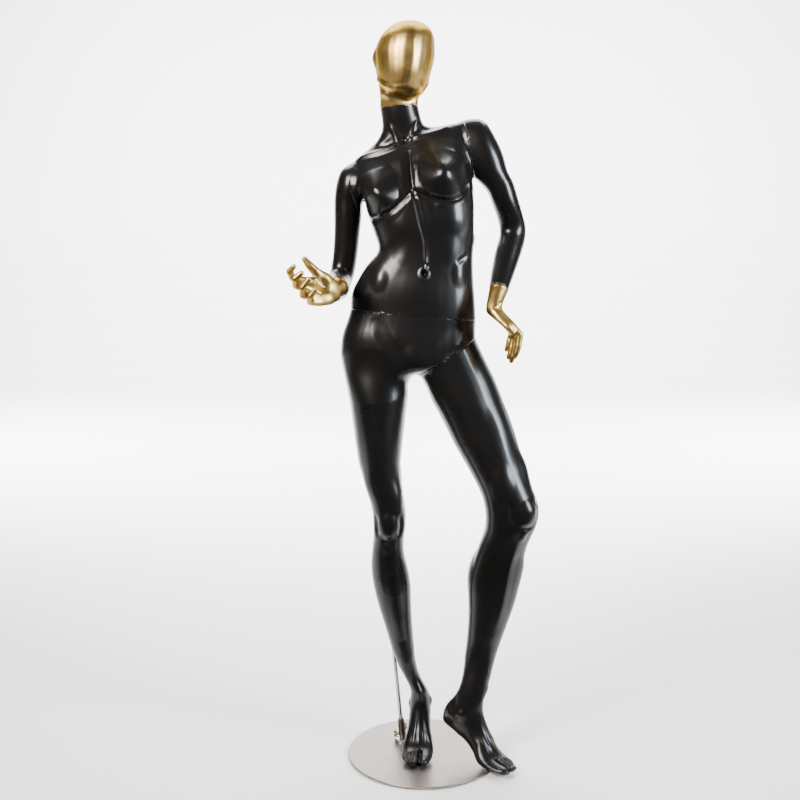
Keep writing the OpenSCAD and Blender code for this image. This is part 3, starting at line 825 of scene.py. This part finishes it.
def make_metal(name, dark, light, rough, grain, stretch=None, strength=0.15):
    mat, nodes, links, shader = material(name)
    lines = noise(nodes, links, grain, 4.0, stretch)
    links.new(mixed(nodes, links, lines, dark, light), shader.inputs["Base Color"])
    shader.inputs["Metallic"].default_value = 1.0
    links.new(spread_over(nodes, links, lines, rough - 0.05, rough + 0.06),
              shader.inputs["Roughness"])
    relief(nodes, links, lines, shader, strength, 0.0002)
    return mat


def make_rubber():
    mat, nodes, links, shader = material("rubber_mat")
    specks = noise(nodes, links, 400.0)
    links.new(mixed(nodes, links, specks, (0.015, 0.015, 0.015), (0.03, 0.03, 0.03)),
              shader.inputs["Base Color"])
    shader.inputs["Roughness"].default_value = 0.85
    relief(nodes, links, specks, shader, 0.3, 0.0003)
    return mat


BLACK = make_black()
GOLD = make_gold()
PLATE_STEEL = make_metal(
    "brushed_steel", (0.20, 0.175, 0.16), (0.29, 0.255, 0.235), 0.33, 60.0, (1, 26, 1))
SATIN_STEEL = make_metal(
    "satin_steel", (0.45, 0.43, 0.41), (0.58, 0.56, 0.54), 0.3, 120.0, (12, 12, 1))
DARK_STEEL = make_metal(
    "dark_steel", (0.09, 0.085, 0.08), (0.16, 0.15, 0.145), 0.38, 120.0, (12, 12, 1))
BRASS = make_metal("brass", (0.48, 0.36, 0.18), (0.62, 0.48, 0.27), 0.28, 200.0)
RUBBER = make_rubber()

for nodes_of, mat in (
    (("base_plate",), PLATE_STEEL), (("base_mat",), RUBBER),
    (("socket_tube", "rod_collar"), DARK_STEEL), (("upper_wing_screw", "lower_wing_screw"), BRASS),
    ([n for n in frame["nodes"] if n.endswith(("_plate", "_peg")) and n != "base_plate"],
     SATIN_STEEL),
    (("socket_flange", "flange_screws", "calf_rod", "calf_tube"), SATIN_STEEL),
):
    for node in nodes_of:
        for place in frame["nodes"][node].material_slots:
            place.material = mat


# ---------------------------------------------------------------- body

OVERLAP = 6 * MM      # how far two sections run into each other before they are melted
NECK_STUB = 30 * MM
WRIST_STUB = 20 * MM
SHOULDER_STUB = 25 * MM
SOLE = 7.4            # height of the lowest sole over the floor, in millimetres
torso_skin = outer_skin("torso", waist, [(waist, -OVERLAP), (neck, NECK_STUB)])
hips_skin = outer_skin("pelvis_and_right_leg", waist, [(waist, OVERLAP)])
leg_skin = outer_skin("left_leg", hip, [(hip, OVERLAP)])
right_arm_skin = outer_skin(
    "right_arm", right_shoulder, [(right_shoulder, -OVERLAP), (right_wrist, WRIST_STUB)])
left_arm_skin = outer_skin(
    "left_arm", left_shoulder, [(left_shoulder, -OVERLAP), (left_wrist, WRIST_STUB)])

# The right arm lies close to the side, so it is melted apart from the torso, which gets its stub
right_stub = stub_of(right_arm_skin, right_shoulder, SHOULDER_STUB)
body = joined("body", [torso_skin, hips_skin, leg_skin, right_stub, left_arm_skin])
VOXEL, ROUNDS = ((3.2 * MM, 24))
for skin in (body, right_arm_skin):
    remeshed(skin, VOXEL)
    apply_modifier(skin, "SMOOTH", factor=0.5, iterations=ROUNDS)

# The middle of each leg from the thigh to the ankle, as (z, x, y)
RIGHT_LEG = [(904, -110, 0), (825, -109, -4), (746, -107, -6), (669, -92, -6), (590, -84, -4),
             (525, -88, 4), (440, -78, 15), (354, -66, 24), (266, -50, 30), (185, -24, 34)]
LEFT_LEG = [(907, 103, -6), (830, 138, -18), (756, 170, -32), (680, 203, -46), (641, 213, -50),
            (605, 209, -48), (536, 187, -34), (449, 173, -20), (364, 163, -11), (278, 146, -6),
            (205, 128, -26)]
refined(body, fine_places)
clay = Clay(body)
sculpt_chest(clay)
sculpt_neck(clay)
sculpt_belly(clay)
sculpt_back(clay)
sculpt_leg(clay, RIGHT_LEG, -92, 600, 1)
sculpt_leg(clay, LEFT_LEG, -52, 645, -1)
sculpt_foot(clay, -5, 44, -6, 1)
reshape_left_foot(clay)
sculpt_foot(clay, 104, -38, 50, -1)
clay.co[:, 2] = np.maximum(clay.co[:, 2], SOLE)
clay.write()

# Each section's body, about where its middle is, and its seams, with True where a plate closes it
SECTIONS = {
    "pelvis_and_right_leg": ("figure", (-0.09, 0, 0.5), [(waist, True), (hip, True)]),
    "left_leg": ("left_leg", (0.19, 0, 0.5), [(hip, True)]),
    "torso": ("torso", (0, 0, 1.3), [
        (waist, True), (neck, False), (right_shoulder, False), (left_shoulder, False)]),
    "left_arm": ("left_arm", (0.2, 0, 1.3), [(left_shoulder, True), (left_wrist, False)]),
    "right_arm": ("right_arm", (-0.19, 0, 1.3), [(right_shoulder, True), (right_wrist, False)]),
}
SMALLEST_SECTION = 2500    # faces
CREASE = math.radians(40)


def middle_of(faces):
    """Middle of the box round some faces, from every 20th of them."""
    co = np.array([f.calc_center_median() for f in faces[::20]])
    return (co.min(0) + co.max(0)) / 2


def finish_section(name, bm, parts):
    """Makes the shell of one section from the part of the cut skin that lies nearest to it."""
    carrier, spot, ends = SECTIONS[name]
    large = [part for part in parts if len(part) > SMALLEST_SECTION]
    faces = min(large, key=lambda part: np.linalg.norm(middle_of(part) - np.array(spot)))
    obj = section_object(name + "_shell", bm, faces, ends)
    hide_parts(name)
    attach(obj, carrier)
    obj.data.materials.append(BLACK)
    make_active(obj)
    bpy.ops.object.shade_smooth_by_angle(angle=CREASE)


body_bm, body_parts = opened(body, [waist, neck, right_shoulder, left_shoulder, left_wrist, hip])
for name in ("pelvis_and_right_leg", "left_leg", "torso", "left_arm"):
    finish_section(name, body_bm, body_parts)
arm_bm, arm_parts = opened(right_arm_skin, [right_shoulder, right_wrist])
finish_section("right_arm", arm_bm, arm_parts)
body_bm.free()
arm_bm.free()
bpy.data.objects.remove(body)
bpy.data.objects.remove(right_arm_skin)


# ---------------------------------------------------------------- head

def sculpt_head(clay):
    front = lambda x, z: clay.at(x, z, y=0)
    # The face's own middle line, a soft keel from the crown to the chin
    keel = [(-38, 1768), (-30, 1735), (-26, 1700), (-26, 1665), (-28, 1645)]
    clay.stroke([front(*p) for p in keel], 42, 3.5, along=FRONT, crest=True, sharp=1.25, taper=0.3)
    clay.write()
    # Ears: a soft swelling with a small lobe
    for turn in (193, 32):
        clay.bump(clay.at(-49, 1700, -2, turn), (26, 26, 30), 5)
        clay.write()
        clay.stroke([clay.at(-49, z, -2, turn) for z in (1722, 1700, 1684)], 8, -1.5, taper=0.4)
        clay.write()
    # Jaw: from under the ears down to the chin, crisp, with a hollow below it
    clay.bump(clay.at(-44, 1622, -10, 296), (44, 44, 30), 6)
    clay.write()
    jaw = [clay.at(-50, z, -4, t) for t, z in
           ((198, 1658), (212, 1648), (228, 1637), (246, 1627), (266, 1618), (288, 1613),
            (308, 1616), (328, 1627), (350, 1641), (12, 1655))]
    clay.stroke(jaw, 11, 3.6, crest=True, sharp=1.2, taper=0.1)
    clay.write()
    under = [clay.at(-52, z, 0, t) for t, z in
             ((205, 1636), (224, 1624), (244, 1614), (266, 1606), (290, 1602), (312, 1605),
              (334, 1617), (0, 1634))]
    clay.stroke(under, 13, -6, sharp=1.3, taper=0.1)
    clay.write()
    clay.bump(clay.at(-50, 1651, -2, 204), 9, 3)
    clay.write()
    clay.bump(clay.at(-50, 1651, -2, 206), 4.5, -2.5)
    clay.write()


GAP = 0.4 * MM    # between a gold piece and the black edge that it meets


def cut_gold(skin, node, seam, carrier, rim, recess):
    """Cuts a finished head or hand off at its seam, and closes it round its plate or peg."""
    plane = Seam(seam.point + seam.normal * GAP, seam.normal)
    bm, parts = opened(skin, [plane])
    obj = section_object(node + "_shell.001", bm, parts[0], [(plane, True)], rim, recess)
    bm.free()
    bpy.data.objects.remove(skin)
    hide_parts(node)
    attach(obj, carrier)
    obj.data.materials.append(GOLD)
    make_active(obj)
    bpy.ops.object.shade_smooth_by_angle(angle=CREASE)


head_skin = outer_skin("head", neck, [(neck, -4 * MM)])
remeshed(head_skin, 2.4 * MM)
apply_modifier(head_skin, "SMOOTH", factor=0.5, iterations=16)
sculpt_head(Clay(head_skin))
cut_gold(head_skin, "head", neck, "head", RIM, RECESS)


# ---------------------------------------------------------------- hands

def limb(points):
    """Balls joined by tapered rods. Each point is (x, y, z, radius) in millimetres."""
    for k, (x, y, z, r) in enumerate(points):
        bpy.ops.mesh.primitive_uv_sphere_add(segments=20, ring_count=12, radius=r * MM,
                                             location=(x * MM, y * MM, z * MM))
        if k:
            a, b = Vector(points[k - 1][:3]) * MM, Vector((x, y, z)) * MM
            bpy.ops.mesh.primitive_cone_add(
                vertices=20, radius1=points[k - 1][3] * MM, radius2=r * MM, depth=(b - a).length,
                location=(a + b) / 2, rotation=(b - a).to_track_quat("Z", "Y").to_euler())


def hand_skin(name, seam, wrist, bones, voxel):
    """A hand from its wrist and its chains of bones, melted into one skin."""
    deselect_all()
    start = seam.point / MM - seam.normal * 5
    bpy.ops.mesh.primitive_uv_sphere_add(radius=1 * MM, location=start * MM)
    skin = bpy.context.object
    skin.name = name
    # A sleeve over the seam, as wide as the forearm's end
    make_active(skin)
    bpy.ops.object.mode_set(mode="EDIT")
    sleeve = seam.point / MM + seam.normal * 6
    bpy.ops.mesh.primitive_cylinder_add(
        vertices=40, radius=22.3 * MM, depth=12 * MM, location=(start + sleeve) / 2 * MM,
        rotation=seam.normal.to_track_quat("Z", "Y").to_euler())
    limb([(*sleeve, 21.5)] + wrist)
    for chain in bones:
        limb(chain)
    bpy.ops.object.mode_set(mode="OBJECT")
    bpy.ops.object.transform_apply(location=True, rotation=True, scale=True)
    remeshed(skin, voxel * MM)
    apply_modifier(skin, "SMOOTH", factor=0.5, iterations=8)
    return skin


# Points of the bones are (x, y, z, radius) in millimetres: four fingers, then the thumb.
# The right hand lies open with its fingers curled up and its thumb raised
RIGHT_WRIST = [(-203, -146, 1177, 19), (-208, -158, 1174, 18)]
RIGHT_BONES = [
    [(-212, -160, 1180, 16), (-240, -188, 1192, 13), (-264, -206, 1194, 10),
     (-292, -222, 1203, 8), (-297, -234, 1216, 7.4), (-287, -240, 1227, 6)],
    [(-210, -160, 1174, 16), (-234, -190, 1178, 13), (-256, -212, 1178, 10.5),
     (-283, -233, 1186, 8.4), (-284, -248, 1201, 7.6), (-270, -252, 1213, 6)],
    [(-208, -160, 1168, 16), (-228, -190, 1164, 13), (-246, -212, 1162, 10.5),
     (-268, -234, 1165, 8.2), (-268, -250, 1182, 7.4), (-254, -254, 1200, 6)],
    [(-206, -158, 1162, 16), (-220, -186, 1153, 14), (-234, -206, 1149, 10.5),
     (-254, -226, 1150, 7.4), (-252, -242, 1163, 6.8), (-241, -246, 1178, 5.4)],
    [(-212, -162, 1184, 18), (-226, -178, 1200, 15), (-242, -190, 1213, 11),
     (-257, -196, 1229, 9.2), (-268, -198, 1243, 6.4)],
]
# The left hand is bent outwards at the wrist, and its fingers hang down together
LEFT_WRIST = [(167, -62, 1156, 20.5), (161, -77, 1138, 19.5), (158, -84, 1128, 18.5)]
LEFT_BONES = [
    [(164, -92, 1122, 15), (194, -108, 1096, 12), (217, -112, 1070, 9), (214, -114, 1045, 7.8),
     (210, -113, 1029, 7), (207, -112, 1020, 5.6)],
    [(164, -86, 1120, 15), (192, -96, 1094, 12), (214, -98, 1066, 9), (208, -100, 1037, 8),
     (203, -99, 1018, 7), (200, -98, 1008, 5.6)],
    [(163, -80, 1120, 15), (188, -84, 1094, 12), (209, -84, 1067, 9), (202, -86, 1040, 7.8),
     (198, -85, 1023, 6.8), (195, -84, 1015, 5.4)],
    [(162, -74, 1122, 14), (184, -73, 1098, 11), (203, -70, 1074, 8), (197, -71, 1052, 6.8),
     (194, -71, 1040, 6), (191, -70, 1032, 5)],
    [(160, -95, 1122, 14), (172, -110, 1104, 10.5), (188, -119, 1089, 8.8), (200, -121, 1076, 6.2)],
]


def palm_details(clay, side):
    """The hollow and the lines of the palm, the wrist's folds, and the knuckles."""
    if side == "right":
        clay.relax(np.array((-226, -184, 1172)), (44, 56, 44), 14)
        clay.relax(np.array((-228, -184, 1202)), (26, 30, 24), 7)
        clay.write()
        clay.bump(np.array((-228, -196, 1184)), (24, 24, 22), -6)
        clay.bump(np.array((-222, -180, 1199)), (20, 20, 20), 3)
        clay.bump(np.array((-214, -180, 1156)), (20, 24, 20), 3)
        clay.write()
        clay.stroke([(-243, -200, 1200), (-234, -200, 1190), (-224, -190, 1182),
                     (-214, -176, 1178)], 5, -1.6)
        clay.stroke([(-246, -216, 1186), (-238, -214, 1174), (-228, -206, 1164)], 4.5, -1.4)
    else:
        clay.relax(np.array((186, -90, 1100)), (44, 44, 46), 14)
        clay.relax(np.array((163, -76, 1136)), (40, 44, 34), 9)
        clay.write()
        clay.stroke([(180, -84, 1134), (176, -96, 1133), (166, -103, 1132),
                     (155, -104, 1130)], 5, -3)
        clay.bump(np.array((176, -92, 1142)), 8, 2.5)
    clay.write()
    # Finger joints
    for chain in (RIGHT_BONES if side == "right" else LEFT_BONES):
        for point in chain[2:-1]:
            clay.bump(np.array(point[:3], float), point[3] * 1.5, 0.6)
    clay.write()


PEG_RIM = 14.2 * MM       # leaves room for the wrist's peg, radius 7
PEG_RECESS = 18.6 * MM    # and for its length, 16
HAND_VOXEL = 1.3
for side, seam, wrist, bones in (("right", right_wrist, RIGHT_WRIST, RIGHT_BONES),
                                 ("left", left_wrist, LEFT_WRIST, LEFT_BONES)):
    node = side + "_hand"
    skin = hand_skin(node + "_skin", seam, wrist, bones, HAND_VOXEL)
    palm_details(Clay(skin), side)
    cut_gold(skin, node, seam, node, PEG_RIM, PEG_RECESS)


# ---------------------------------------------------------------- studio

CAMERA_AT = (-0.058, -2.56, 1.25)
CAMERA_DOWN = math.radians(7.7)
LENS = 48
FLOOR_SIZE = (24, 8, 1)
FLOOR_AT = (0, 3.69, 0)
COVE_STEPS = 8    # of the quarter turn from the floor up into the wall
COVE_STEP = 0.32
WALL_HEIGHT = 9


def make_camera():
    data = bpy.data.cameras.new("camera")
    data.lens = LENS
    data.sensor_width = 36
    camera = bpy.data.objects.new("camera", data)
    bpy.context.scene.collection.objects.link(camera)
    camera.location = CAMERA_AT
    camera.rotation_euler = (math.pi / 2 - CAMERA_DOWN, 0, 0)
    bpy.context.scene.camera = camera


def soft_light(name, at, towards, width, height, power, color, spread=180):
    """A rectangular lamp. Sizes are in metres, power in watts, and spread in degrees."""
    data = bpy.data.lights.new(name, "AREA")
    data.shape = "RECTANGLE"
    data.size, data.size_y = width, height
    data.energy = power
    data.color = color
    data.spread = math.radians(spread)
    lamp = bpy.data.objects.new(name, data)
    bpy.context.scene.collection.objects.link(lamp)
    lamp.location = at
    lamp.rotation_euler = (Vector(towards) - Vector(at)).to_track_quat("-Z", "Y").to_euler()


def make_backdrop():
    """White floor that curves up into a white wall far behind the figure."""
    deselect_all()
    bpy.ops.mesh.primitive_plane_add(size=1, location=(0, 0, -0.0005))
    floor = bpy.context.object
    floor.name = "backdrop"
    bpy.ops.object.mode_set(mode="EDIT")
    bpy.ops.mesh.select_all(action="SELECT")
    bpy.ops.transform.resize(value=FLOOR_SIZE, center_override=(0, 0, 0))
    bpy.ops.transform.translate(value=FLOOR_AT)
    bm = bmesh.from_edit_mesh(floor.data)
    far = [e for e in bm.edges if all(v.co.y > 5 for v in e.verts)]
    for e in bm.edges:
        e.select = e in far
    for i in range(COVE_STEPS):
        angle = math.radians(90 * (i + 1) / COVE_STEPS)
        move = (0, COVE_STEP * math.cos(angle), COVE_STEP * math.sin(angle))
        bpy.ops.mesh.extrude_edges_move(TRANSFORM_OT_translate={"value": move})
    bpy.ops.mesh.extrude_edges_move(TRANSFORM_OT_translate={"value": (0, 0, WALL_HEIGHT)})
    bpy.ops.object.mode_set(mode="OBJECT")
    mat, nodes, links, shader = material("backdrop")
    links.new(mixed(nodes, links, noise(nodes, links, 0.4), (0.93, 0.93, 0.93), (0.96, 0.96, 0.96)),
              shader.inputs["Base Color"])
    shader.inputs["Roughness"].default_value = 0.95
    shader.inputs["Specular IOR Level"].default_value = 0.0
    floor.data.materials.append(mat)


def make_world():
    world = bpy.data.worlds.new("studio")
    bpy.context.scene.world = world
    world.use_nodes = True
    back = world.node_tree.nodes["Background"]
    back.inputs["Color"].default_value = (0.95, 0.97, 1.0, 1)
    back.inputs["Strength"].default_value = 0.06


make_camera()
make_backdrop()
make_world()
soft_light("warm_box", (-1.7, -2.0, 2.6), (-0.05, 0, 1.42), 1.1, 1.4, 80, (1.0, 0.92, 0.85), 100)
soft_light("cool_box", (2.4, -1.1, 1.75), (0.05, 0, 1.4), 0.8, 1.5, 55, (0.84, 0.92, 1.0), 100)
soft_light("overhead", (0, 2.3, 4.2), (0, 0.6, 0), 4.0, 2.6, 330, (1, 1, 1))
soft_light("wall_left", (-3.4, 3.4, 3.2), (0, 8.5, 1.2), 2.0, 2.0, 1450, (1, 1, 1))
soft_light("wall_right", (3.4, 3.4, 3.2), (0, 8.5, 1.2), 2.0, 2.0, 1450, (1, 1, 1))
